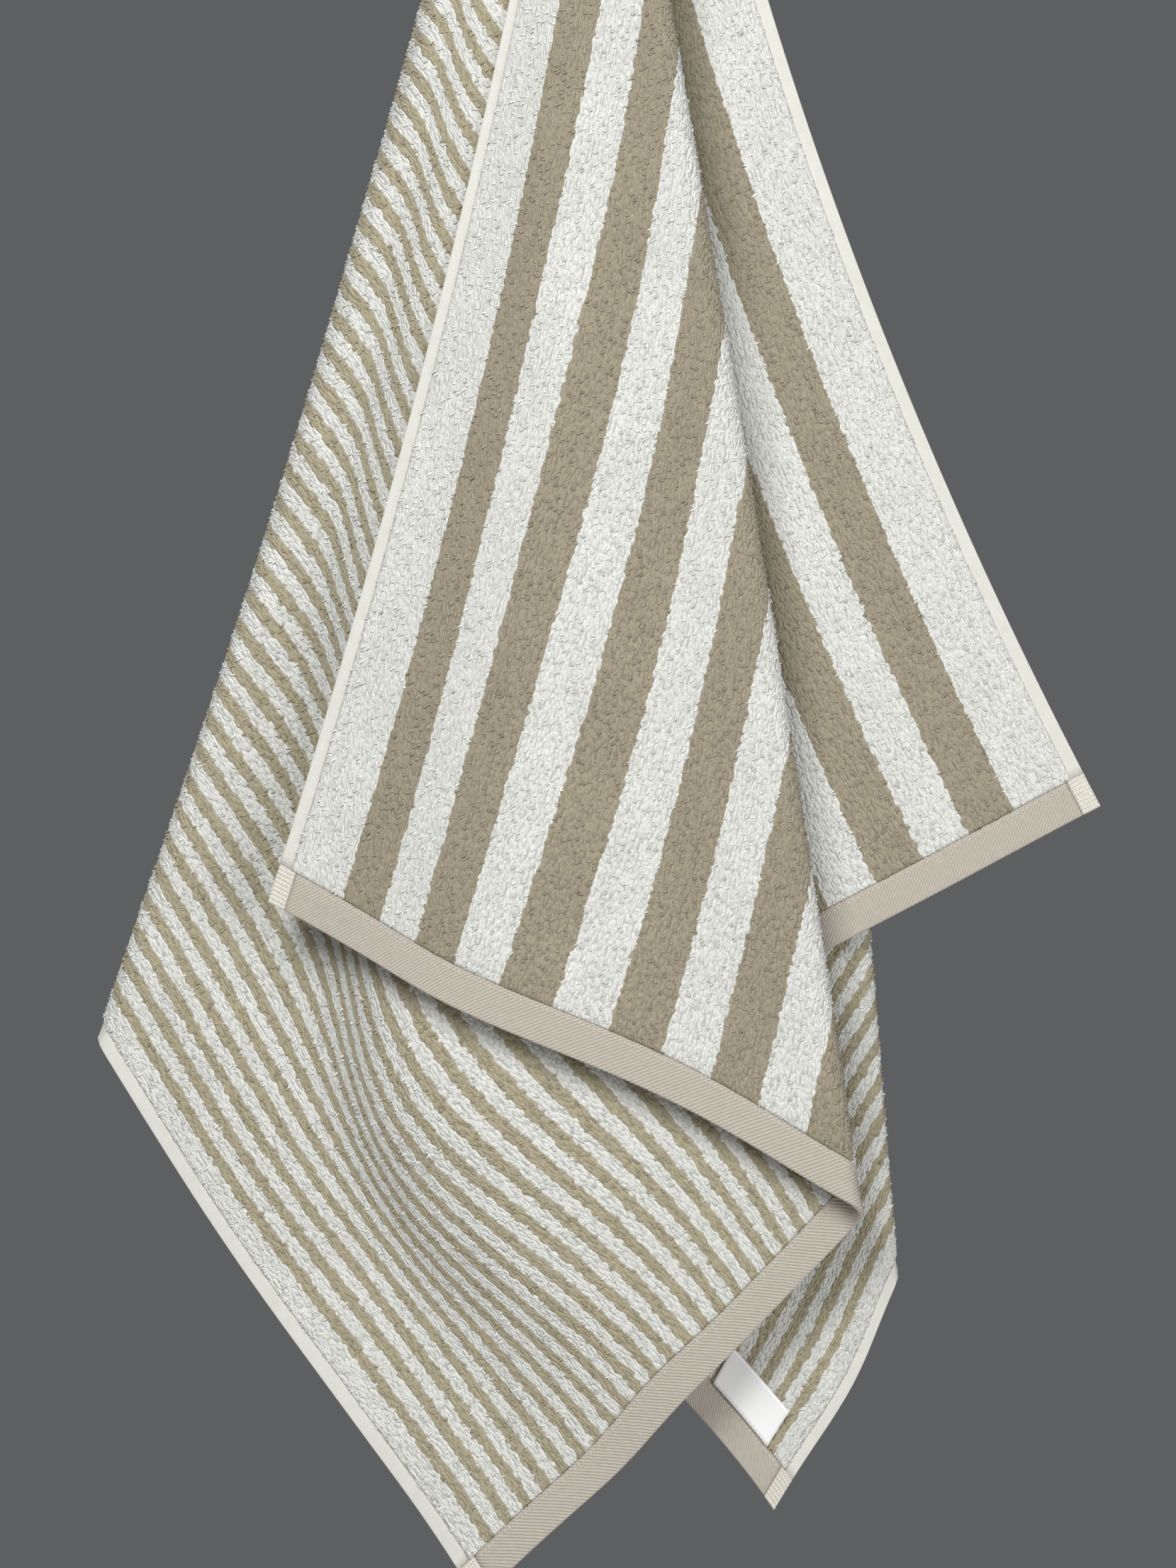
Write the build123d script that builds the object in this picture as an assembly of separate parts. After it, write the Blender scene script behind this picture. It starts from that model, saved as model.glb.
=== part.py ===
"""A reversible terry bath towel, hung from a peg at the middle of one long edge.

The towel is one woven rectangle: looped pile in the middle, a flat woven selvedge along each
long edge and a turned, stitched hem across each end. Hung up, it falls into seven flat panels
that meet at the peg. Each panel is a wedge of the flat towel, and each fold is a straight ray
from the peg to an edge. Face A has wide stripes and face B has narrow ones; the weave shows
them, so they have no solid of their own.

Frame: the peg's axis is +Y, out of the wall side. The origin is the mouth of the peg pocket,
+Z is up and the wall is the plane y = 0, so the whole towel lies at y <= 0.
"""

import os
from math import cos, radians, sin

from build123d import *

os.makedirs("parts", exist_ok=True)

# The flat towel, in millimetres.
towel_length = 1400.0  # from hem edge to hem edge
towel_width = 700.0  # from selvedge edge to selvedge edge
pile_thickness = 4.0  # both faces of loops, fluffed up
selvedge_width = 8.0
selvedge_thickness = 2.0
hem_width = 18.0
hem_thickness = 3.0  # three turns of flat weave
tack_length = 11.0  # the bound corner, measured along the hem
tack_thickness = 3.4
seam_width = 1.2  # one row of lockstitch
seam_height = 0.4
seam_inset = 1.6  # from the hem's inner edge to the row's near side

# The care label, sewn under the hem seam on face B of the right end.
label_width = 22.0  # across the hem
label_length = 52.0  # along the hem
label_thickness = 0.5
label_from_selvedge = 27.0
label_stitch_width = 1.5
label_stitch_height = 0.3

# The stack of panels, from the front one to the one at the wall.
panel_pitch = 14.0  # between the middles of neighbouring panels
fold_reach = 12.0  # how far the widest fold bulges past its ray

# The gathered crown on the peg.
crown_radius = 26.0
crown_length = 76.0  # from the peg's axis down to where the panels part
crown_rounding = 8.0
crown_gap = 3.0  # between the crown and the start of a selvedge
pocket_radius = 11.0  # round hollow that the peg fills
pocket_depth = 40.0

# Rays from the peg, from the front selvedge to the middle line of the towel:
# (angle on the flat towel from the front selvedge, angle hung from straight down with
# positive to the right, hung length over flat length: cloth on the bias stretches,
# and a free edge bows).
left_rays = [(0.0, -13.3, 1.0), (28.5, 8.5, 1.04), (63.8, -18.5, 1.01), (90.0, 2.3, 1.0)]
right_rays = [
    (0.0, 21.1, 0.97),
    (31.6, -6.5, 0.98),
    (51.8, 9.6, 0.98),
    (74.8, -11.0, 1.0),
    (90.0, 2.3, 1.0),
]
# The place of each panel in the stack, 0 in front, in the order of the rays.
left_levels = [0, 1, 6]
right_levels = [2, 3, 4, 5]
halves = {"left": (left_rays, left_levels), "right": (right_rays, right_levels)}
last_level = max(left_levels + right_levels)
half_length = towel_length / 2
stack_depth = last_level * panel_pitch + pile_thickness


def panel_y(level):
    """The middle of a panel; the last one's pile touches the wall."""
    return -(pile_thickness / 2 + (last_level - level) * panel_pitch)


def flat_direction(ray):
    """The ray's direction on the flat towel: along the selvedge, then across."""
    return cos(radians(ray[0])), sin(radians(ray[0]))


def hung_direction(ray):
    """The ray as it hangs, in x and z, with its stretch."""
    return ray[2] * sin(radians(ray[1])), -ray[2] * cos(radians(ray[1]))


def hang(point, ray_a, ray_b):
    """Where a flat point hangs, on the panel between two rays."""
    along, across = point
    ax, ay = flat_direction(ray_a)
    bx, by = flat_direction(ray_b)
    spread = ax * by - ay * bx
    share_a = (along * by - across * bx) / spread
    share_b = (ax * across - ay * along) / spread
    a, b = hung_direction(ray_a), hung_direction(ray_b)
    return share_a * a[0] + share_b * b[0], share_a * a[1] + share_b * b[1]


def clip(points, keep):
    """The part of a convex outline where keep(point) is positive."""
    result = []
    for here, there in zip(points, points[1:] + points[:1]):
        at_here, at_there = keep(here), keep(there)
        if at_here >= 0:
            result.append(here)
        if at_here * at_there < 0:
            part = at_here / (at_here - at_there)
            result.append(tuple(h + part * (t - h) for h, t in zip(here, there)))
    return result


def panel_outline(region, ray_a, ray_b):
    """A rectangle of the flat towel, cut to one panel and hung."""
    across_0, across_1, along_0, along_1 = region
    corners = [(along_0, across_0), (along_1, across_0), (along_1, across_1), (along_0, across_1)]
    ax, ay = flat_direction(ray_a)
    bx, by = flat_direction(ray_b)
    corners = clip(corners, lambda p: ax * p[1] - ay * p[0])
    corners = clip(corners, lambda p: bx * -p[1] + by * p[0]) if corners else corners
    return [hang(p, ray_a, ray_b) for p in corners]


def plate(outline, middle_y, thickness):
    """A flat plate with an outline in x and z."""
    face = make_face(Polyline([(x, middle_y + thickness / 2, z) for x, z in outline], close=True))
    return extrude(face, amount=thickness, dir=(0, -1, 0))


def round_ended(half_depth, reach):
    """The section of a fold: a disc, or a slot where the fold wraps several panels."""
    if half_depth <= reach:
        return Circle(half_depth)
    return SlotOverall(2 * half_depth, 2 * reach, rotation=90)


def fold_span(region, ray):
    """The stretch of a ray, in flat lengths, that lies in a rectangle of the flat towel."""
    across_0, across_1, along_0, along_1 = region
    along, across = flat_direction(ray)
    start, end = across_0 / across, across_1 / across
    if along > 1e-9:
        start, end = max(start, along_0 / along), min(end, along_1 / along)
    elif along_0 > 0:
        end = start
    return start, end


def fold(region, ray, side, level_a, level_b, thickness):
    """The bend that joins two panels along a ray; side is 1 where it bulges to the right."""
    start, end = fold_span(region, ray)
    if end <= start:
        return []
    half_depth = abs(level_a - level_b) * panel_pitch / 2
    reach = min(half_depth, fold_reach)
    outer = round_ended(half_depth + thickness / 2, reach + thickness / 2)
    inner = round_ended(half_depth - thickness / 2, reach - thickness / 2)
    cover_size = 4 * (half_depth + thickness)
    section = (outer - inner) & (Pos(cover_size / 2, 0) * Rectangle(cover_size, cover_size))
    dx, dz = hung_direction(ray)
    middle_y = (panel_y(level_a) + panel_y(level_b)) / 2
    out = Vector(-dz * side, 0, dx * side)
    plane = Plane(origin=(start * dx, middle_y, start * dz), x_dir=out, z_dir=(dx, 0, dz))
    return list(extrude(plane * section, amount=(end - start) * ray[2]).solids())


def bulge_side(rays, index):
    """A fold bulges away from the panel that leads to it."""
    return 1 if rays[index][1] > rays[index - 1][1] else -1


def laid(region, thickness, sides=("left", "right"), lift=0.0, with_folds=True):
    """A rectangle of the flat towel (across 0-1, along 0-1 from the middle), as it hangs.

    lift moves it towards face A, which is the front of an even panel and the back of an odd one.
    """
    pieces = []
    for side in sides:
        rays, levels = halves[side]
        for index, level in enumerate(levels):
            outline = panel_outline(region, rays[index], rays[index + 1])
            if len(outline) > 2:
                towards_front = -1 if index % 2 == 0 else 1
                pieces.append(plate(outline, panel_y(level) + lift * towards_front, thickness))
        if not with_folds:
            continue
        for index in range(1, len(levels)):
            turn = bulge_side(rays, index)
            pieces += fold(region, rays[index], turn, levels[index - 1], levels[index], thickness)
    if with_folds and len(sides) == 2:
        turn = bulge_side(left_rays, len(left_rays) - 1)
        pieces += fold(region, left_rays[-1], turn, left_levels[-1], right_levels[-1], thickness)
    return pieces


def joined(pieces):
    """The pieces as one shape, with the panels that touch made one solid."""
    return pieces[0] + pieces[1:] if len(pieces) > 1 else pieces[0]


def crown():
    """The bunched cloth round the peg, a rounded wedge through the whole stack."""
    rays = [left_rays[2], right_rays[0]]
    foot = [
        (crown_length * sin(radians(ray[1])), -crown_length * cos(radians(ray[1]))) for ray in rays
    ]
    profile = make_hull(
        Circle(crown_radius).edges() + Polyline([*foot, (0, 0)], close=True).edges()
    )
    block = extrude(Plane.XZ * profile, amount=stack_depth)
    front_and_back = block.faces().sort_by(Axis.Y)
    return fillet(front_and_back[0].edges() + front_and_back[-1].edges(), crown_rounding)


def peg_pocket():
    """The blind round hollow that the peg fills, open at the wall side."""
    return extrude(Plane.XZ * Circle(pocket_radius), amount=pocket_depth)


def save(shape, name):
    export_step(Compound(label=name, children=list(shape.solids())), f"parts/{name}.step")


pile_across = (selvedge_width, towel_width - selvedge_width)
pile_along = half_length - hem_width
hem_across = (tack_length, towel_width - tack_length)

terry = joined(laid((*pile_across, 0.0, pile_along), pile_thickness) + [crown()]) - peg_pocket()
save(terry, "terry_cloth")

# The front selvedge runs into the crown from both sides, so it starts where the crown ends.
shortest_ray = min(left_rays[0][2], right_rays[0][2])
selvedge_start = (crown_length + crown_gap) / shortest_ray
front_region = (0.0, selvedge_width, selvedge_start, pile_along)
save(Compound(laid(front_region, selvedge_thickness)), "front_selvedge")

rear_region = (towel_width - selvedge_width, towel_width, 0.0, pile_along)
save(joined(laid(rear_region, selvedge_thickness)), "rear_selvedge")

for side in ("left", "right"):
    hem = laid((*hem_across, pile_along, half_length), hem_thickness, [side])
    save(joined(hem), f"{side}_hem")

    seam_start = pile_along + seam_inset
    seam_region = (*hem_across, seam_start, seam_start + seam_width)
    seam_lift = (hem_thickness + seam_height) / 2
    rows = [
        row
        for lift in (seam_lift, -seam_lift)
        for row in laid(seam_region, seam_height, [side], lift, with_folds=False)
    ]
    save(Compound(rows), f"{side}_hem_seam")

    for edge, start in (("front", 0.0), ("rear", towel_width - tack_length)):
        region = (start, start + tack_length, pile_along, half_length)
        save(joined(laid(region, tack_thickness, [side])), f"{side}_{edge}_tack")

label_across = (towel_width - label_from_selvedge - label_length, towel_width - label_from_selvedge)
label_lift = -(pile_thickness + label_thickness) / 2
label_region = (*label_across, pile_along - label_width, pile_along)
save(joined(laid(label_region, label_thickness, ["right"], label_lift, False)), "care_label")

stitch_lift = label_lift - (label_thickness + label_stitch_height) / 2
stitch_region = (*label_across, pile_along - label_stitch_width, pile_along)
save(
    joined(laid(stitch_region, label_stitch_height, ["right"], stitch_lift, False)),
    "label_stitches",
)
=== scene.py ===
import math

import bmesh
import bpy
import numpy as np
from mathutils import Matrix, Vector


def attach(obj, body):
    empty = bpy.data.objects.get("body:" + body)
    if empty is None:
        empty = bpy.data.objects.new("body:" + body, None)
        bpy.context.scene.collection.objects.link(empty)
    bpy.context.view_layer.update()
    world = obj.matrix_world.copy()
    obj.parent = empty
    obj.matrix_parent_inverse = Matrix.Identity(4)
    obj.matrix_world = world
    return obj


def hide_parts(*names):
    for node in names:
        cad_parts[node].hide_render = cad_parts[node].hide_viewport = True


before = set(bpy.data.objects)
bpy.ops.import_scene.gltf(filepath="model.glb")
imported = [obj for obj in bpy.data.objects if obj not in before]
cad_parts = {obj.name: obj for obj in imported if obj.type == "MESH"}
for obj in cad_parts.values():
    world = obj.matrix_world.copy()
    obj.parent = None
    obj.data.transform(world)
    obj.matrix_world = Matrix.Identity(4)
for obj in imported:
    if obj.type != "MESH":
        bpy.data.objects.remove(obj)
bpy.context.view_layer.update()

# ---------------------------------------------------------------------------------------------
# Terry cloth. One rectangle of reversible cotton terry, woven with loops on both faces: wide
# stripes on face A, narrow ones on face B. It is held at the middle of one long edge and falls
# from the peg in seven wedge-shaped panels, each fold a path from the peg to an edge.
# ---------------------------------------------------------------------------------------------

towel_length = 1.400
towel_width = 0.700
half_length = towel_length / 2
selvedge_width = 0.008
hem_width = 0.018
pile_thickness = 0.0040
pile_along = half_length - hem_width
grid_step = 0.005
panel_pitch = 0.014  # between neighbouring layers of the hanging stack
middle_level, last_level = 3.0, 6.0
peg_height = 0.021  # the cloth's rise over the middle of a 20 mm peg
peg_clear = 0.036  # how far down the rear layers have passed the peg, and may turn back to the wall
hood_depth, hood_fade = 0.014, 0.006  # the gathered top reaches back over the peg's tip
lean_start = 0.011  # the folds run straight down this far before they lean
shoulder_fade = 0.012
bunch_fade = 0.030

# Each fold: its angle on the flat towel from the front selvedge; how far to the side it starts
# over the peg; its lean and flare, the slope sideways and how that grows on the way down; and
# how far below the peg it leaves the cloth.
left_folds = [(0.0, 0.002, -0.155, -0.241, 0.6786), (28.5, -0.012, 0.19, -0.055, 0.825),
              (63.8, -0.028, -0.24, -0.15, 0.7447), (90.0, 0.0, 0.04, 0.0, 0.712)]
right_folds = [(0.0, 0.0245, 0.16, 0.57, 0.6323), (29.8, -0.005, -0.088, 0.0, 0.800),
               (51.8, 0.005, 0.30, -0.33, 0.863), (74.8, -0.020, -0.20, 0.0, 0.722),
               (90.0, 0.0, 0.04, 0.0, 0.712)]
# Each panel: its level in the stack at its first fold and at its last, 0 in front; where the
# step between them lies across the panel, how that moves for each metre down, its width; how
# far the middle swells; and the gathers that crowd the cloth: place, drift, width, amount.
left_panels = [(0.9, 0.0, 0.22, 0.0, 0.44, -0.15, [(0.42, 0.0, 0.20, 0.050)]),
               (1.2, 3.3, 0.60, -0.97, 0.30, 0.0, [(0.69, -0.97, 0.13, 0.035), (0.51, -0.97, 0.13, -0.035)]),
               (4.5, 6.0, 0.35, 0.0, 0.7, 0.0, [])]
right_panels = [(3.1, 2.6, 0.3, 0.0, 0.6, 0.0, []), (3.5, 3.5, 0.5, 0.0, 1.0, 0.0, []),
                (4.3, 4.3, 0.5, 0.0, 1.0, 0.0, []), (5.1, 5.1, 0.5, 0.0, 1.0, 0.0, [])]
pleat_top = 0.80  # the share across from which a moving step starts, high up
drift_from = 0.75  # metres down at which a step or gather has the place that is given for it
fade_start, fade_run = 0.84, 0.14  # over which moving steps and gathers die out above the hem
reach_step, longest_reach = 0.004, 1.16  # the rows of a panel's table of hung places
share_steps = 160  # and its columns
cloth_softness = 0.0065  # how far each fold's crease is rounded off, as a Gaussian's width
# Where the cloth's weight pulls it: across, along, how far the pull reaches, sideways, up.
pulls = [(0.70, -0.70, 0.20, 0.010, 0.026), (0.70, 0.70, 0.16, 0.015, 0.008),
         (0.25, -0.70, 0.09, 0.0, 0.004), (0.385, -0.70, 0.07, 0.0, -0.006),
         (0.53, -0.50, 0.11, -0.022, -0.022), (0.56, -0.70, 0.10, 0.010, 0.000),
         (0.70, 0.62, 0.05, 0.006, -0.002)]


def smooth_step(x):
    x = np.clip(x, 0.0, 1.0)
    return x * x * (3 - 2 * x)


def level_y(level):
    """Depth of a level in the stack: the last one lies along the wall."""
    return -(pile_thickness / 2 + (last_level - level) * panel_pitch)


def stack_y(level, drop):
    """Depth of a level at a drop below the peg: the bunch opens into the stack, in front of the
    peg's tip at first, with a hood over it."""
    passed = np.maximum(drop - np.where(np.asarray(level) > middle_level, peg_clear, 0.0), 0.0)
    opened = (level - middle_level) * panel_pitch * (1 - np.exp(-passed / bunch_fade))
    return level_y(middle_level) + opened + hood_depth * np.exp(-drop / hood_fade)


def fold_path(fold, level, reach):
    """A fold's path down from the peg, as x, y, z at each flat length in reach."""
    flat_angle, shoulder, lean, flare, end_drop = fold
    drop = np.linspace(0, 1.7, 1701)
    leaning = np.maximum(drop - lean_start, 0.0)
    capped = np.minimum(leaning, end_drop)
    x = shoulder * (1 - np.exp(-drop / shoulder_fade)) + lean * leaning
    x = x + flare * (capped ** 2 / 2 + capped * (leaning - capped))
    y = stack_y(level, drop)
    steps = np.sqrt(np.diff(x) ** 2 + np.diff(y) ** 2 + np.diff(drop) ** 2)
    run = np.concatenate([[0], np.cumsum(steps)])
    radians = math.radians(flat_angle)
    end_reach = half_length / max(math.cos(radians), math.sin(radians))
    end_run = np.interp(end_drop + peg_height, drop, run)
    at = np.interp(reach * end_run / end_reach, run, drop)
    return np.stack([np.interp(at, drop, x), np.interp(at, drop, y), peg_height - at], axis=-1)


def panel_level(panel, share, reach):
    """A panel's level in the stack at each flat length down it and each share across it."""
    first, last, place, drift, width, swell, _ = panel
    centre = np.clip(place + drift * (reach - drift_from), -0.2, pleat_top)[:, None]
    step = smooth_step((share[None, :] - centre) / width + 0.5)
    low = smooth_step((reach - 0.15) / 0.55)[:, None]
    even = smooth_step((share[None, :] - 0.5) / 1.0 + 0.5)
    if drift:
        step = step + (even - step) * smooth_step((reach - fade_start) / fade_run)[:, None]
    return first + (last - first) * step * (low if drift else 1) + swell * np.sin(math.pi * share) * low


def flutes(x, z, level):
    """Soft flutes that all the layers share, flatter towards the wall."""
    fan = x / (0.12 - z)
    low = smooth_step((-z - 0.10) / 0.7)
    wave = 0.0030 * np.sin(fan * 19 + 0.6) + 0.0018 * np.sin(fan * 37 - z * 4 + 1.0)
    return wave * (0.4 + 0.6 * low) * (1 - 0.6 * level / last_level)


def panel_table(fold_a, fold_b, panel, reach, share):
    """A panel's hung places, for each flat length down its folds and each share across it."""
    level = panel_level(panel, share, reach)
    a = fold_path(fold_a, panel[0], reach)[:, None, :]
    b = fold_path(fold_b, panel[1], reach)[:, None, :]
    across = share[None, :] + 0 * reach[:, None]
    depth = stack_y(level, reach[:, None])
    chord = 2 * math.sin(math.radians(fold_b[0] - fold_a[0]) / 2) * reach[:, None]
    for _ in range(3):  # where the cloth turns away, it takes up less of the width
        place = a + (b - a) * across[..., None]
        y = depth + flutes(place[..., 0], place[..., 2], level)
        rise = np.gradient(y, axis=1) / np.gradient(share)[None, :]
        run = np.sqrt(np.maximum(chord ** 2 - rise ** 2, (0.35 * chord) ** 2) + 1e-12)
        travelled = np.cumsum((run[:, 1:] + run[:, :-1]) / 2, axis=1)
        across = np.concatenate([0 * run[:, :1], travelled / travelled[:, -1:]], axis=1)
    for at, drift, width, amount in panel[6]:
        highest = pleat_top + at - panel[2] if drift else 1.0
        centre = np.minimum(at + drift * (reach - drift_from), highest)
        ends = np.clip(np.minimum(across, 1 - across) / 0.12, 0, 1)
        if drift:
            ends = ends * (1 - smooth_step((reach - fade_start) / fade_run))[:, None]
        across = across - amount * ends * np.exp(-((across - centre[:, None]) / width) ** 2)
    place = a + (b - a) * across[..., None]
    place[..., 1] = depth + flutes(place[..., 0], place[..., 2], level)
    return place


def hang(across, along):
    """Where flat points hang: across from the front selvedge, along from the middle."""
    reach = np.arange(0, longest_reach, reach_step)
    share = np.linspace(0, 1, share_steps + 1)
    place = np.zeros(across.shape + (3,))
    angle = np.degrees(np.arctan2(across, np.abs(along)))
    halves = ((left_folds, left_panels, along <= 0), (right_folds, right_panels, along > 0))
    for folds, panels, side in halves:
        for fold_a, fold_b, panel in zip(folds, folds[1:], panels):
            inside = side & (angle >= fold_a[0]) & (angle <= fold_b[0] + 1e-6)
            table = panel_table(fold_a, fold_b, panel, reach, share)
            ax, ay = math.cos(math.radians(fold_a[0])), math.sin(math.radians(fold_a[0]))
            bx, by = math.cos(math.radians(fold_b[0])), math.sin(math.radians(fold_b[0]))
            spread = ax * by - ay * bx
            u, v = across[inside], np.abs(along[inside])
            part_a = (v * by - u * bx) / spread
            part_b = (ax * u - ay * v) / spread
            total = np.maximum(part_a + part_b, 1e-9)
            row = np.clip(total / reach_step, 0, len(reach) - 1.001)
            column = np.clip(part_b / total * share_steps, 0, share_steps - 0.001)
            i, j = row.astype(int), column.astype(int)
            f, g = (row - i)[:, None], (column - j)[:, None]
            upper = table[i, j] * (1 - g) + table[i, j + 1] * g
            lower = table[i + 1, j] * (1 - g) + table[i + 1, j + 1] * g
            place[inside] = upper * (1 - f) + lower * f
    for u, v, far, sideways, up in pulls:
        pull = np.exp(-((across - u) ** 2 + (along - v) ** 2) / far ** 2)
        place[..., 0] += pull * sideways
        place[..., 2] += pull * up
    return place


def softened(field, sigma):
    """A field over the flat towel, smoothed by a Gaussian that runs straight on past the ends."""
    half = int(math.ceil(3 * sigma / grid_step))
    kernel = np.exp(-0.5 * (np.arange(-half, half + 1) * grid_step / sigma) ** 2)
    kernel /= kernel.sum()
    for axis in (0, 1):
        field = np.moveaxis(field, axis, 0)
        steps = np.arange(half, 0, -1).reshape(-1, 1, 1)
        before = field[0] + (field[0] - field[1]) * steps
        after = field[-1] + (field[-1] - field[-2]) * steps[::-1]
        padded = np.concatenate([before, field, after])
        field = sum(k * padded[i:i + field.shape[0]] for i, k in enumerate(kernel))
        field = np.moveaxis(field, 0, axis)
    return field


rows = int(round(towel_width / grid_step)) + 1
columns = int(round(towel_length / grid_step)) + 1
grid_across, grid_along = np.meshgrid(np.linspace(0, towel_width, rows),
                                      np.linspace(-half_length, half_length, columns), indexing="ij")
cloth = softened(hang(grid_across, grid_along), cloth_softness)
cloth_normal = np.cross(np.gradient(cloth, axis=0), np.gradient(cloth, axis=1))  # out of face A
cloth_normal /= np.maximum(np.linalg.norm(cloth_normal, axis=-1, keepdims=True), 1e-12)


def cubic_weights(t):
    return np.stack([-0.5 * t + t * t - 0.5 * t ** 3, 1 - 2.5 * t * t + 1.5 * t ** 3,
                     0.5 * t + 2 * t * t - 1.5 * t ** 3, -0.5 * t * t + 0.5 * t ** 3], axis=-1)


def on_cloth(field, across, along):
    """A field of the cloth's grid at any flat point, by a smooth cubic between grid points."""
    r = np.clip(across / grid_step, 0, rows - 1.0001)
    c = np.clip((along + half_length) / grid_step, 0, columns - 1.0001)
    i, j = r.astype(int), c.astype(int)
    weight_r, weight_c = cubic_weights(r - i), cubic_weights(c - j)
    result = 0
    for a in range(4):
        for b in range(4):
            corner = field[np.clip(i + a - 1, 0, rows - 1), np.clip(j + b - 1, 0, columns - 1)]
            result = result + (weight_r[..., a] * weight_c[..., b])[..., None] * corner
    return result


def place_and_normal(across, along):
    normal = on_cloth(cloth_normal, across, along)
    return on_cloth(cloth, across, along), normal / np.linalg.norm(normal, axis=-1, keepdims=True)


def lines(start, end, step=grid_step, rounding=0.0):
    """Evenly spaced lines over a stretch, with closer ones at both ends for a rounded edge."""
    count = max(2, int(round((end - start - 2 * rounding) / step)) + 1)
    inner = np.linspace(start + rounding, end - rounding, count)
    if rounding == 0:
        return inner
    curve = rounding * np.array([0, 0.12, 0.35, 0.65])
    return np.concatenate([start + curve, inner, end - curve[::-1]])


def link(name, mesh):
    made = bpy.data.objects.new(name, mesh)
    bpy.context.scene.collection.objects.link(made)
    return made


def slab(name, across, along, thickness, rounding=0.0, lift=0.0, relief=None):
    """A closed sheet over a rectangle of the flat towel, which follows the hung cloth."""
    u, v = np.meshgrid(across, along, indexing="ij")
    middle, normal = place_and_normal(u, v)
    half = np.full(u.shape, thickness / 2)
    if rounding > 0:
        near = np.minimum.reduce([u - across[0], across[-1] - u, v - along[0], along[-1] - v])
        half *= 0.25 + 0.75 * np.sqrt(1 - (1 - np.clip(near / rounding, 0, 1)) ** 2)
    if relief is not None:
        half = half + relief(u, v)
    shift = lift(u, v) if callable(lift) else np.full(u.shape, lift)
    side_a = middle + normal * (shift + half)[..., None]
    side_b = middle + normal * (shift - half)[..., None]
    count = u.size
    index = np.arange(count).reshape(u.shape)
    corners = [index[:-1, :-1], index[1:, :-1], index[1:, 1:], index[:-1, 1:]]
    front = np.stack(corners, axis=-1).reshape(-1, 4)
    rim = np.concatenate([index[:, 0], index[-1, 1:], index[-2::-1, -1], index[0, -2:0:-1]])
    after = np.roll(rim, -1)
    wall = np.stack([after, rim, rim + count, after + count], axis=-1)
    faces = np.concatenate([front, front[:, ::-1] + count, wall]).astype(np.int32)
    mesh = bpy.data.meshes.new(name)
    mesh.vertices.add(2 * count)
    mesh.vertices.foreach_set("co", np.concatenate([side_a.reshape(-1, 3), side_b.reshape(-1, 3)]).ravel())
    mesh.loops.add(faces.size)
    mesh.loops.foreach_set("vertex_index", faces.ravel())
    mesh.polygons.add(len(faces))
    mesh.polygons.foreach_set("loop_start", np.arange(0, faces.size, 4, dtype=np.int32))
    mesh.update(calc_edges=True)
    flat = np.stack([u.ravel(), v.ravel()], axis=-1)
    flat = np.concatenate([flat, flat])[faces.ravel()]
    mesh.uv_layers.new(name="cloth").data.foreach_set("uv", flat.astype(np.float32).ravel())
    mesh.polygons.foreach_set("use_smooth", np.ones(len(faces), dtype=bool))
    face_b = np.zeros(len(faces), dtype=np.int32)
    face_b[len(front):2 * len(front)] = 1
    mesh.polygons.foreach_set("material_index", face_b)
    mesh.validate()
    return link(name, mesh)


def linear(code):
    """An sRGB hex colour as linear RGBA."""
    parts = [int(code[i:i + 2], 16) / 255 for i in (1, 3, 5)]
    return tuple(c / 12.92 if c <= 0.04045 else ((c + 0.055) / 1.055) ** 2.4 for c in parts) + (1.0,)


def node(tree, kind, inputs=(), **settings):
    """Add a node with its settings, and link or set its inputs."""
    made = tree.nodes.new(kind)
    for name, value in settings.items():
        setattr(made, name, value)
    for key, value in dict(inputs).items():
        if isinstance(value, bpy.types.NodeSocket):
            tree.links.new(value, made.inputs[key])
        else:
            made.inputs[key].default_value = value
    return made


def material(name, roughness, sheen=0.0, specular=0.3):
    """An empty material and its tree and shader."""
    made = bpy.data.materials.new(name)
    made.use_nodes = True
    shader = made.node_tree.nodes["Principled BSDF"]
    shader.inputs["Roughness"].default_value = roughness
    shader.inputs["Sheen Weight"].default_value = sheen
    shader.inputs["Sheen Roughness"].default_value = 0.5
    shader.inputs["Specular IOR Level"].default_value = specular
    return made, made.node_tree, shader


# Looped cotton pile: matte, with a soft sheen at a glance. Real loops are about 1.5 mm apart each
# way; here they are 2.8 mm along the towel, so that they show. Each takes the colour at its own
# centre, which gives the stripes their toothed edges.
loop_across, loop_along = 0.0013, 0.0028


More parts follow.
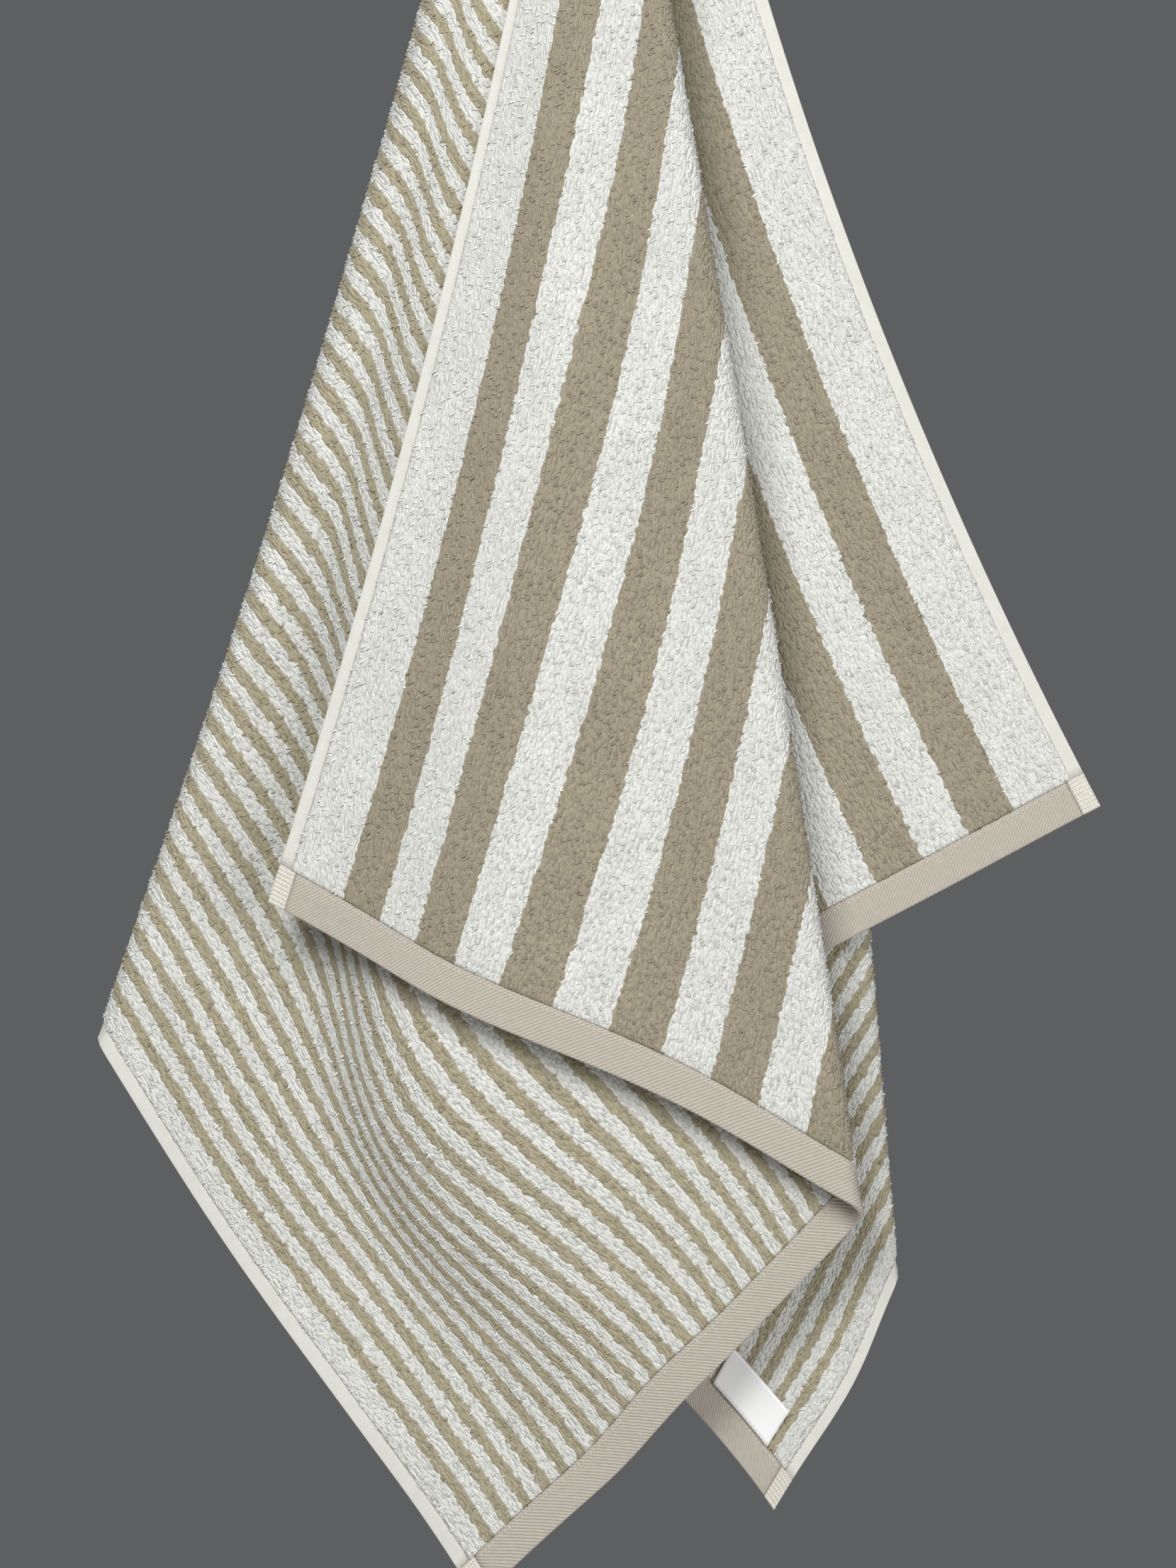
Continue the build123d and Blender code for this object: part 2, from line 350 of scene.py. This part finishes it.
def terry(name, first, period, band, last, beige, white):
    made, tree, shader = material(name, 0.95, sheen=0.25, specular=0.15)
    flat = node(tree, "ShaderNodeUVMap", uv_map="cloth").outputs["UV"]
    crinkle = node(tree, "ShaderNodeTexNoise", {"Vector": flat, "Scale": 340.0, "Detail": 1.0})
    shifted = node(tree, "ShaderNodeVectorMath", {0: crinkle.outputs["Color"], 1: (0.5, 0.5, 0.5)},
                   operation="SUBTRACT")
    small = node(tree, "ShaderNodeVectorMath", {0: shifted.outputs[0], "Scale": 0.0009}, operation="SCALE")
    bent = node(tree, "ShaderNodeVectorMath", {0: flat, 1: small.outputs[0]}, operation="ADD")
    cells = node(tree, "ShaderNodeVectorMath",
                 {0: bent.outputs[0], 1: (1 / loop_across, 1 / loop_along, 1.0)}, operation="MULTIPLY")
    loop = node(tree, "ShaderNodeTexVoronoi", {"Vector": cells.outputs[0], "Scale": 1.0},
                voronoi_dimensions="2D")
    centre = node(tree, "ShaderNodeSeparateXYZ", {0: loop.outputs["Position"]})
    across = node(tree, "ShaderNodeMath", {0: centre.outputs["X"], 1: loop_across}, operation="MULTIPLY")
    start = node(tree, "ShaderNodeMath", {0: across.outputs[0], 1: first}, operation="SUBTRACT")
    turns = node(tree, "ShaderNodeMath", {0: start.outputs[0], 1: period}, operation="DIVIDE")
    part = node(tree, "ShaderNodeMath", {0: turns.outputs[0]}, operation="FRACT")
    dyed = node(tree, "ShaderNodeMath", {0: part.outputs[0], 1: band / period}, operation="LESS_THAN")
    after = node(tree, "ShaderNodeMath", {0: across.outputs[0], 1: first}, operation="GREATER_THAN")
    before = node(tree, "ShaderNodeMath", {0: across.outputs[0], 1: last}, operation="LESS_THAN")
    within = node(tree, "ShaderNodeMath", {0: after.outputs[0], 1: before.outputs[0]}, operation="MULTIPLY")
    stripe = node(tree, "ShaderNodeMath", {0: dyed.outputs[0], 1: within.outputs[0]}, operation="MULTIPLY")
    colour = node(tree, "ShaderNodeMix", {"Factor": stripe.outputs[0], 6: linear(white), 7: linear(beige)},
                  data_type="RGBA")
    # Loops differ a little in tone, the gaps between them are darkened with painted shade, and the pile mats
    # in patches.
    each = node(tree, "ShaderNodeSeparateXYZ", {0: loop.outputs["Color"]})
    tint = node(tree, "ShaderNodeMapRange", {"Value": each.outputs["X"], "To Min": 0.90, "To Max": 1.07})
    painted_gap_shade = node(tree, "ShaderNodeMapRange", {"Value": loop.outputs["Distance"], "From Min": 0.30,
                                            "From Max": 0.85, "To Min": 1.0, "To Max": 0.70})
    mats = node(tree, "ShaderNodeTexNoise", {"Vector": flat, "Scale": 28.0, "Detail": 2.0})
    patch = node(tree, "ShaderNodeMapRange", {"Value": mats.outputs[0], "From Min": 0.3, "From Max": 0.7,
                                              "To Min": 0.96, "To Max": 1.03})
    shade = node(tree, "ShaderNodeMath", {0: tint.outputs[0], 1: painted_gap_shade.outputs[0]}, operation="MULTIPLY")
    whole = node(tree, "ShaderNodeMath", {0: shade.outputs[0], 1: patch.outputs[0]}, operation="MULTIPLY")
    painted = node(tree, "ShaderNodeVectorMath", {0: colour.outputs[2], "Scale": whole.outputs[0]},
                   operation="SCALE")
    tree.links.new(painted.outputs[0], shader.inputs["Base Color"])
    height = node(tree, "ShaderNodeMath", {0: 1.0, 1: loop.outputs["Distance"]}, operation="SUBTRACT")
    bump = node(tree, "ShaderNodeBump", {"Height": height.outputs[0], "Strength": 0.75, "Distance": 0.0012})
    tree.links.new(bump.outputs[0], shader.inputs["Normal"])
    return made


wide_terry = terry("cotton_terry_wide_stripe", 0.0455, 0.0580, 0.029, 0.6545, "#A59C86", "#E6E6E1")
narrow_terry = terry("cotton_terry_narrow_stripe", 0.0204, 0.0136, 0.0063, 0.6796, "#B1A88E", "#E4E4DE")


def finish_piece(piece, materials, slot, *nodes):
    """Give a piece its materials, and hide the CAD nodes it stands for."""
    for each in materials:
        piece.data.materials.append(each)
    if len(materials) == 1:
        one = np.zeros(len(piece.data.polygons), dtype=np.int32)
        piece.data.polygons.foreach_set("material_index", one)
    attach(piece, "root")
    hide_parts(*nodes)
    return piece


pile_across = lines(selvedge_width, towel_width - selvedge_width, rounding=0.002)
pile = slab("terry_pile", pile_across, lines(-pile_along, pile_along, rounding=0.002),
            pile_thickness, rounding=0.002)
finish_piece(pile, (wide_terry, narrow_terry), "terry_pile", "terry_cloth")


def evaluated(piece, tree, values):
    """Run a node tree on a piece with its inputs set by identifier, and keep the plain mesh."""
    modifier = piece.modifiers.new("nodes", "NODES")
    modifier.node_group = tree
    for item in tree.interface.items_tree:
        if item.item_type == "SOCKET" and item.in_out == "INPUT" and item.name in values:
            modifier[item.identifier] = values[item.name]
    bpy.context.view_layer.update()
    graph = bpy.context.evaluated_depsgraph_get()
    mesh = bpy.data.meshes.new_from_object(piece.evaluated_get(graph), depsgraph=graph)
    piece.modifiers.remove(modifier)
    return mesh


def node_tree(name, sockets):
    """An empty Geometry Nodes tree with its named inputs, and its input and output nodes."""
    tree = bpy.data.node_groups.new(name, "GeometryNodeTree")
    tree.interface.new_socket("Geometry", in_out="INPUT", socket_type="NodeSocketGeometry")
    for title, kind in sockets:
        tree.interface.new_socket(title, in_out="INPUT", socket_type=kind)
    tree.interface.new_socket("Geometry", in_out="OUTPUT", socket_type="NodeSocketGeometry")
    return tree, tree.nodes.new("NodeGroupInput"), tree.nodes.new("NodeGroupOutput")


# Loops that stand out of the pile: small low arches scattered over each face. They roughen the
# surface and the folds' outlines. Each half of each face is one mesh, to keep the meshes small.
loops_tree, given, result = node_tree("Pile Loops", (
    ("Face", "NodeSocketInt"), ("Half", "NodeSocketFloat"), ("Density", "NodeSocketFloat"),
    ("Length", "NodeSocketFloat"), ("Width", "NodeSocketFloat"), ("Height", "NodeSocketFloat"),
    ("Seed", "NodeSocketInt"), ("Material", "NodeSocketMaterial")))
flat_place = node(loops_tree, "GeometryNodeInputNamedAttribute", {"Name": "cloth"}, data_type="FLOAT_VECTOR")
flat_parts = node(loops_tree, "ShaderNodeSeparateXYZ", {0: flat_place.outputs["Attribute"]})
signed = node(loops_tree, "ShaderNodeMath", {0: flat_parts.outputs["Y"], 1: given.outputs["Half"]},
              operation="MULTIPLY")
this_half = node(loops_tree, "FunctionNodeCompare", {0: signed.outputs[0], 1: 0.0},
                 data_type="FLOAT", operation="GREATER_EQUAL")
face_index = node(loops_tree, "GeometryNodeInputMaterialIndex")
this_face = node(loops_tree, "FunctionNodeCompare", {2: face_index.outputs[0], 3: given.outputs["Face"]},
                 data_type="INT", operation="EQUAL")
chosen = node(loops_tree, "FunctionNodeBooleanMath", {0: this_half.outputs[0], 1: this_face.outputs[0]},
              operation="AND")
scattered = node(loops_tree, "GeometryNodeDistributePointsOnFaces",
                 {"Mesh": given.outputs["Geometry"], "Selection": chosen.outputs[0],
                  "Density": given.outputs["Density"], "Seed": given.outputs["Seed"]})
strip = node(loops_tree, "GeometryNodeMeshGrid", {"Size X": given.outputs["Length"],
                                                  "Size Y": given.outputs["Width"],
                                                  "Vertices X": 4, "Vertices Y": 2})
place = node(loops_tree, "GeometryNodeInputPosition")
place_parts = node(loops_tree, "ShaderNodeSeparateXYZ", {0: place.outputs[0]})
from_end = node(loops_tree, "ShaderNodeMath", {0: place_parts.outputs["X"], 1: given.outputs["Length"]},
                operation="DIVIDE")
squared = node(loops_tree, "ShaderNodeMath", {0: from_end.outputs[0], 1: from_end.outputs[0]},
               operation="MULTIPLY")
fall = node(loops_tree, "ShaderNodeMath", {0: squared.outputs[0], 1: -4.0}, operation="MULTIPLY")
arch = node(loops_tree, "ShaderNodeMath", {0: fall.outputs[0], 1: 0.75}, operation="ADD")
rise = node(loops_tree, "ShaderNodeMath", {0: arch.outputs[0], 1: given.outputs["Height"]},
            operation="MULTIPLY")
lifted = node(loops_tree, "ShaderNodeCombineXYZ", {"Z": rise.outputs[0]})
arched = node(loops_tree, "GeometryNodeSetPosition",
              {"Geometry": strip.outputs[0], "Offset": lifted.outputs[0]})
spin = node(loops_tree, "FunctionNodeRandomValue", {2: -0.75, 3: 0.75, "Seed": given.outputs["Seed"]},
            data_type="FLOAT")
turned = node(loops_tree, "ShaderNodeCombineXYZ", {"Z": spin.outputs[1]})
facing = node(loops_tree, "FunctionNodeRotateRotation",
              {0: scattered.outputs["Rotation"], 1: turned.outputs[0]}, rotation_space="LOCAL")
size = node(loops_tree, "FunctionNodeRandomValue", {2: 0.7, 3: 1.25, "Seed": given.outputs["Seed"]},
            data_type="FLOAT")
placed = node(loops_tree, "GeometryNodeInstanceOnPoints",
              {"Points": scattered.outputs["Points"], "Instance": arched.outputs[0],
               "Rotation": facing.outputs[0], "Scale": size.outputs[1]})
real = node(loops_tree, "GeometryNodeRealizeInstances", {0: placed.outputs[0]})
kept = node(loops_tree, "GeometryNodeStoreNamedAttribute",
            {"Geometry": real.outputs[0], "Name": "cloth", "Value": flat_place.outputs["Attribute"]},
            data_type="FLOAT2", domain="CORNER")
dressed = node(loops_tree, "GeometryNodeSetMaterial",
               {"Geometry": kept.outputs[0], "Material": given.outputs["Material"]})
loops_tree.links.new(dressed.outputs[0], result.inputs[0])

for face, face_name, its_terry in ((0, "wide", wide_terry), (1, "narrow", narrow_terry)):
    for half, half_name in ((-1.0, "left"), (1.0, "right")):
        mesh = evaluated(pile, loops_tree, {
            "Face": face, "Half": half, "Density": 64000.0, "Length": 0.0029, "Width": 0.00065,
            "Height": 0.0010, "Seed": 11 + face * 2 + int(half), "Material": its_terry})
        piece = link(f"pile_loops_{face_name}_{half_name}", mesh)
        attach(piece, "root")
        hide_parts("terry_cloth")

# ---------------------------------------------------------------------------------------------
# Selvedges. The flat woven edges of the cloth, without loops: a narrow cream strip along each
# long side, where the weft turns back.
# ---------------------------------------------------------------------------------------------

# Plain cotton weave: fine, flat and matte. Threads 0.5 mm apart wouldn't show, so they are 1 mm.
selvedge_weave, tree, shader = material("cotton_selvedge_weave", 0.85, sheen=0.1)
flat = node(tree, "ShaderNodeUVMap", uv_map="cloth").outputs["UV"]
picks = node(tree, "ShaderNodeTexWave", {"Vector": flat, "Scale": 320.0, "Distortion": 0.6},
             bands_direction="Y")
uneven = node(tree, "ShaderNodeTexNoise", {"Vector": flat, "Scale": 120.0, "Detail": 2.0})
colour = node(tree, "ShaderNodeMix",
              {"Factor": uneven.outputs[0], 6: linear("#D3D2C9"), 7: linear("#E0DFD7")}, data_type="RGBA")
tree.links.new(colour.outputs[2], shader.inputs["Base Color"])
bump = node(tree, "ShaderNodeBump", {"Height": picks.outputs["Fac"], "Strength": 0.4, "Distance": 0.0004})
tree.links.new(bump.outputs[0], shader.inputs["Normal"])

for name, start in (("front", 0.0), ("rear", towel_width - selvedge_width)):
    piece = slab(f"{name}_selvedge_weave", lines(start, start + selvedge_width, 0.0025, 0.0006),
                 lines(-pile_along, pile_along), 0.0016, rounding=0.0006)
    finish_piece(piece, (selvedge_weave,), "selvedge_weave", f"{name}_selvedge")

# ---------------------------------------------------------------------------------------------
# Hems. Each end is turned over twice into a flat woven band, pinkish beige on both faces, and
# held by a row of lockstitch along its inner edge. The thread draws the band in a little.
# ---------------------------------------------------------------------------------------------

# Cotton twill: fine diagonal ribs, matte, with painted shade darkening the grooves between them. Ribs 0.7 mm
# apart are drawn 1.5 mm apart to show.
hem_twill, tree, shader = material("cotton_hem_twill", 0.85, sheen=0.1)
flat = node(tree, "ShaderNodeUVMap", uv_map="cloth").outputs["UV"]
slanted = node(tree, "ShaderNodeMapping", {"Vector": flat, "Rotation": (0.0, 0.0, math.radians(52))})
ribs = node(tree, "ShaderNodeTexWave", {"Vector": slanted.outputs[0], "Scale": 210.0, "Distortion": 0.8})
slub = node(tree, "ShaderNodeTexNoise", {"Vector": flat, "Scale": 260.0, "Detail": 2.0})
rib_colour_and_groove_shade = node(tree, "ShaderNodeMix", {"Factor": ribs.outputs["Fac"], 6: linear("#ACA497"),
                                          7: linear("#C5BEB2")}, data_type="RGBA")
worn = node(tree, "ShaderNodeMapRange", {"Value": slub.outputs[0], "To Min": 0.90, "To Max": 1.08})
painted = node(tree, "ShaderNodeVectorMath", {0: rib_colour_and_groove_shade.outputs[2], "Scale": worn.outputs[0]},
               operation="SCALE")
tree.links.new(painted.outputs[0], shader.inputs["Base Color"])
bump = node(tree, "ShaderNodeBump", {"Height": ribs.outputs["Fac"], "Strength": 0.55, "Distance": 0.0005})
tree.links.new(bump.outputs[0], shader.inputs["Normal"])

# Spun polyester thread: pale, smooth and faintly glossy beside the cotton.
seam_thread, tree, shader = material("spun_polyester_thread", 0.6, specular=0.4)
flat = node(tree, "ShaderNodeTexCoord").outputs["Object"]
twist = node(tree, "ShaderNodeTexNoise", {"Vector": flat, "Scale": 900.0, "Detail": 1.0})
colour = node(tree, "ShaderNodeMix",
              {"Factor": twist.outputs[0], 6: linear("#CFC6B8"), 7: linear("#E2DCD0")}, data_type="RGBA")
tree.links.new(colour.outputs[2], shader.inputs["Base Color"])

# Stitches along a line: one short thick thread each, end to end, lying along the line.
stitch_tree, given, result = node_tree("Stitches", (
    ("Pitch", "NodeSocketFloat"), ("Length", "NodeSocketFloat"), ("Thread", "NodeSocketFloat"),
    ("Material", "NodeSocketMaterial")))
path = node(stitch_tree, "GeometryNodeMeshToCurve", {0: given.outputs["Geometry"]})
spaced = node(stitch_tree, "GeometryNodeResampleCurve", {"Curve": path.outputs[0],
                                                         "Length": given.outputs["Pitch"]}, mode="LENGTH")
tangent = node(stitch_tree, "GeometryNodeInputTangent")
outward = node(stitch_tree, "GeometryNodeInputNamedAttribute", {"Name": "outward"}, data_type="FLOAT_VECTOR")
upright = node(stitch_tree, "FunctionNodeAlignRotationToVector", {"Vector": outward.outputs["Attribute"]},
               axis="Z")
lying = node(stitch_tree, "FunctionNodeAlignRotationToVector",
             {"Rotation": upright.outputs[0], "Vector": tangent.outputs[0]}, axis="X", pivot_axis="Z")
bead = node(stitch_tree, "GeometryNodeMeshUVSphere", {"Segments": 6, "Rings": 4, "Radius": 0.5})
bead_size = node(stitch_tree, "ShaderNodeCombineXYZ", {"X": given.outputs["Length"],
                                                       "Y": given.outputs["Thread"],
                                                       "Z": given.outputs["Thread"]})
sewn = node(stitch_tree, "GeometryNodeInstanceOnPoints",
            {"Points": spaced.outputs[0], "Instance": bead.outputs[0], "Rotation": lying.outputs[0],
             "Scale": bead_size.outputs[0]})
real = node(stitch_tree, "GeometryNodeRealizeInstances", {0: sewn.outputs[0]})
smooth = node(stitch_tree, "GeometryNodeSetShadeSmooth", {"Geometry": real.outputs[0]})
dressed = node(stitch_tree, "GeometryNodeSetMaterial", {"Geometry": smooth.outputs[0],
                                                        "Material": given.outputs["Material"]})
stitch_tree.links.new(dressed.outputs[0], result.inputs[0])


def stitches(name, paths, pitch, length, thread, its_material):
    """Sew along paths on the cloth, each flat points across and along and a height off face A."""
    points, outs, edges = [], [], []
    for across, along, height in paths:
        middle, normal = place_and_normal(np.asarray(across, float), np.asarray(along, float))
        side = 1 if height > 0 else -1
        first = len(points)
        points += [Vector(p) for p in middle + normal * height]
        outs += [Vector(n * side) for n in normal]
        edges += [(i, i + 1) for i in range(first, len(points) - 1)]
    mesh = bpy.data.meshes.new(name + "_path")
    mesh.from_pydata(points, edges, [])
    outward_data = mesh.attributes.new("outward", "FLOAT_VECTOR", "POINT").data
    outward_data.foreach_set("vector", np.array(outs, dtype=np.float32).ravel())
    guide = link(name + "_guide", mesh)
    done = evaluated(guide, stitch_tree, {"Pitch": pitch, "Length": length, "Thread": thread,
                                          "Material": its_material})
    bpy.data.objects.remove(guide)
    return link(name, done)


hem_thickness, tack_length = 0.0030, 0.011
seam_inset = 0.0022


def puckered(u, v):
    """The lockstitch pulls the band in between its stitches."""
    from_seam = np.abs(np.abs(v) - pile_along - seam_inset)
    return -0.00030 * np.exp(-(from_seam / 0.0016) ** 2) + 0.00018 * np.sin(u / 0.0062 * 2 * math.pi)


hem_pieces = []
for side, sign in (("left", -1), ("right", 1)):
    ends = sorted((sign * pile_along, sign * half_length))
    hem = slab(f"{side}_hem_band", lines(tack_length, towel_width - tack_length, 0.0025),
               lines(*ends, 0.0022, 0.0012), hem_thickness, rounding=0.0012, relief=puckered)
    finish_piece(hem, (hem_twill,), "hem_twill", f"{side}_hem")
    along_hem = np.arange(tack_length + 0.002, towel_width - tack_length - 0.002, 0.002)
    at = np.full(len(along_hem), sign * (pile_along + seam_inset))
    rows_of_two = [(along_hem, at, h * (hem_thickness / 2 - 0.0001)) for h in (1, -1)]
    seam = stitches(f"{side}_hem_lockstitch", rows_of_two, 0.0027, 0.0023, 0.0006, seam_thread)
    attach(seam, "root")
    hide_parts(f"{side}_hem_seam")
    hem_pieces += [hem, seam]

# ---------------------------------------------------------------------------------------------
# Tacks. Each end of a hem is bound with cream thread, close rows of stitches over the raw
# corner, on both faces.
# ---------------------------------------------------------------------------------------------

# Undyed spun thread: cream, and a little smoother than the cotton round it.
tack_thread, tree, shader = material("undyed_spun_thread", 0.65, specular=0.35)
flat = node(tree, "ShaderNodeTexCoord").outputs["Object"]
twist = node(tree, "ShaderNodeTexNoise", {"Vector": flat, "Scale": 800.0, "Detail": 1.0})
colour = node(tree, "ShaderNodeMix",
              {"Factor": twist.outputs[0], 6: linear("#D3CFC4"), 7: linear("#E6E3DA")}, data_type="RGBA")
tree.links.new(colour.outputs[2], shader.inputs["Base Color"])

tack_pieces = []
tack_thickness = 0.0030
tack_rows, stitch_points = 6, 12
row_margin, end_margin = 0.0013, 0.0012  # the outer rows and the rows' ends from the tack's edges
for side, sign in (("left", -1), ("right", 1)):
    for edge, start in (("front", 0.0), ("rear", towel_width - tack_length)):
        ends = sorted((sign * pile_along, sign * half_length))
        ground = slab(f"{side}_{edge}_tack_ground", lines(start, start + tack_length, 0.002, 0.0008),
                      lines(*ends, 0.002, 0.0008), tack_thickness, rounding=0.0008)
        finish_piece(ground, (tack_thread,), "tack_thread", f"{side}_{edge}_tack")
        paths = []
        for height in (tack_thickness / 2, -tack_thickness / 2):
            for column in np.linspace(start + row_margin, start + tack_length - row_margin, tack_rows):
                down = np.linspace(ends[0] + end_margin, ends[1] - end_margin, stitch_points)
                paths.append((np.full(stitch_points, column), down, height))
        threads = stitches(f"{side}_{edge}_tack_threads", paths, 0.0019, 0.0021, 0.0014, tack_thread)
        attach(threads, "root")
        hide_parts(f"{side}_{edge}_tack")
        tack_pieces += [ground, threads]

# ---------------------------------------------------------------------------------------------
# Care label. A blank white satin ribbon sewn flat along the hem on face B of the right end. Its
# free edge lifts a little off the pile.
# ---------------------------------------------------------------------------------------------

# Woven polyester satin: white, smooth, with a soft gloss across fine crosswise threads, and a touch of
# painted shade between them.
label_satin, tree, shader = material("white_polyester_satin", 0.42, sheen=0.1, specular=0.5)
flat = node(tree, "ShaderNodeUVMap", uv_map="cloth").outputs["UV"]
floats = node(tree, "ShaderNodeTexWave", {"Vector": flat, "Scale": 420.0, "Distortion": 0.3},
              bands_direction="X")
colour = node(tree, "ShaderNodeMix", {"Factor": floats.outputs["Fac"], 6: linear("#ECECEC"),
                                      7: linear("#F8F8F8")}, data_type="RGBA")
tree.links.new(colour.outputs[2], shader.inputs["Base Color"])
bump = node(tree, "ShaderNodeBump", {"Height": floats.outputs["Fac"], "Strength": 0.15, "Distance": 0.0002})
tree.links.new(bump.outputs[0], shader.inputs["Normal"])

label_width, label_length, label_thickness = 0.022, 0.052, 0.0005
label_start = towel_width - 0.027 - label_length
label_rest = -(pile_thickness / 2 + label_thickness / 2 + 0.0006)


def curled(u, v):
    free = (pile_along - v) / label_width
    return label_rest - 0.0022 * free ** 2 - 0.0004 * np.sin((u - label_start) / label_length * 5) * free


label = slab("care_label_ribbon", lines(label_start, label_start + label_length, 0.002),
             lines(pile_along - label_width, pile_along, 0.002), label_thickness, lift=curled)
finish_piece(label, (label_satin,), "label_satin", "care_label")
label_across = np.arange(label_start + 0.002, label_start + label_length - 0.001, 0.002)
label_at = np.full(len(label_across), pile_along - 0.0014)
label_seam = stitches("care_label_stitching", [(label_across, label_at, label_rest - label_thickness / 2)],
                      0.0025, 0.0020, 0.0005, seam_thread)
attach(label_seam, "root")
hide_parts("label_stitches")

# ---------------------------------------------------------------------------------------------
# Studio. A pale floor well below the towel, a plain grey surround, a large soft light from the
# upper left in front, a weaker one from the right and one high up behind for the back.
# ---------------------------------------------------------------------------------------------

floor_material, tree, shader = material("pale_floor", 0.8)
shader.inputs["Base Color"].default_value = linear("#DAD9D6")
floor_radius, floor_height = 1.6, -1.7
floor_mesh = bpy.data.meshes.new("floor")
disc = bmesh.new()
bmesh.ops.create_circle(disc, cap_ends=True, radius=floor_radius, segments=96)
bmesh.ops.translate(disc, verts=disc.verts, vec=(0, 0, floor_height))
disc.to_mesh(floor_mesh)
disc.free()
floor_mesh.materials.append(floor_material)
link("floor", floor_mesh)

bpy.context.scene.view_settings.view_transform = "Standard"  # so that plain colours show as given
world = bpy.data.worlds.new("studio")
bpy.context.scene.world = world
world.use_nodes = True
world.node_tree.nodes["Background"].inputs["Color"].default_value = linear("#5E5F61")
world.node_tree.nodes["Background"].inputs["Strength"].default_value = 1.0


def softbox(name, place, target, size, power):
    data = bpy.data.lights.new(name, "AREA")
    data.shape = "SQUARE"
    data.size = size
    data.energy = power
    light = bpy.data.objects.new(name, data)
    bpy.context.scene.collection.objects.link(light)
    light.location = place
    light.visible_camera = False
    light.rotation_euler = (Vector(target) - Vector(place)).to_track_quat("-Z", "Y").to_euler()


softbox("key", (-0.7, -1.9, 0.7), (0, 0, -0.60), 1.0, 47)
softbox("fill", (1.4, -1.8, -0.6), (0, 0, -0.7), 1.6, 26)
softbox("back", (0, 2.2, 1.1), (0, 0, -0.5), 1.2, 40)

# The camera looks straight at the wall, level, at the towel's lower middle.
frame_height, distance = 0.7698, 2.0
lens_data = bpy.data.cameras.new("camera")
lens_data.sensor_fit = "VERTICAL"
lens_data.sensor_height = 36
lens_data.lens = 36 * distance / frame_height
camera = bpy.data.objects.new("camera", lens_data)
bpy.context.scene.collection.objects.link(camera)
bpy.context.scene.camera = camera
camera.location = (-0.0071, level_y(middle_level) - distance, -0.6215)
camera.rotation_euler = (math.pi / 2, 0, 0)
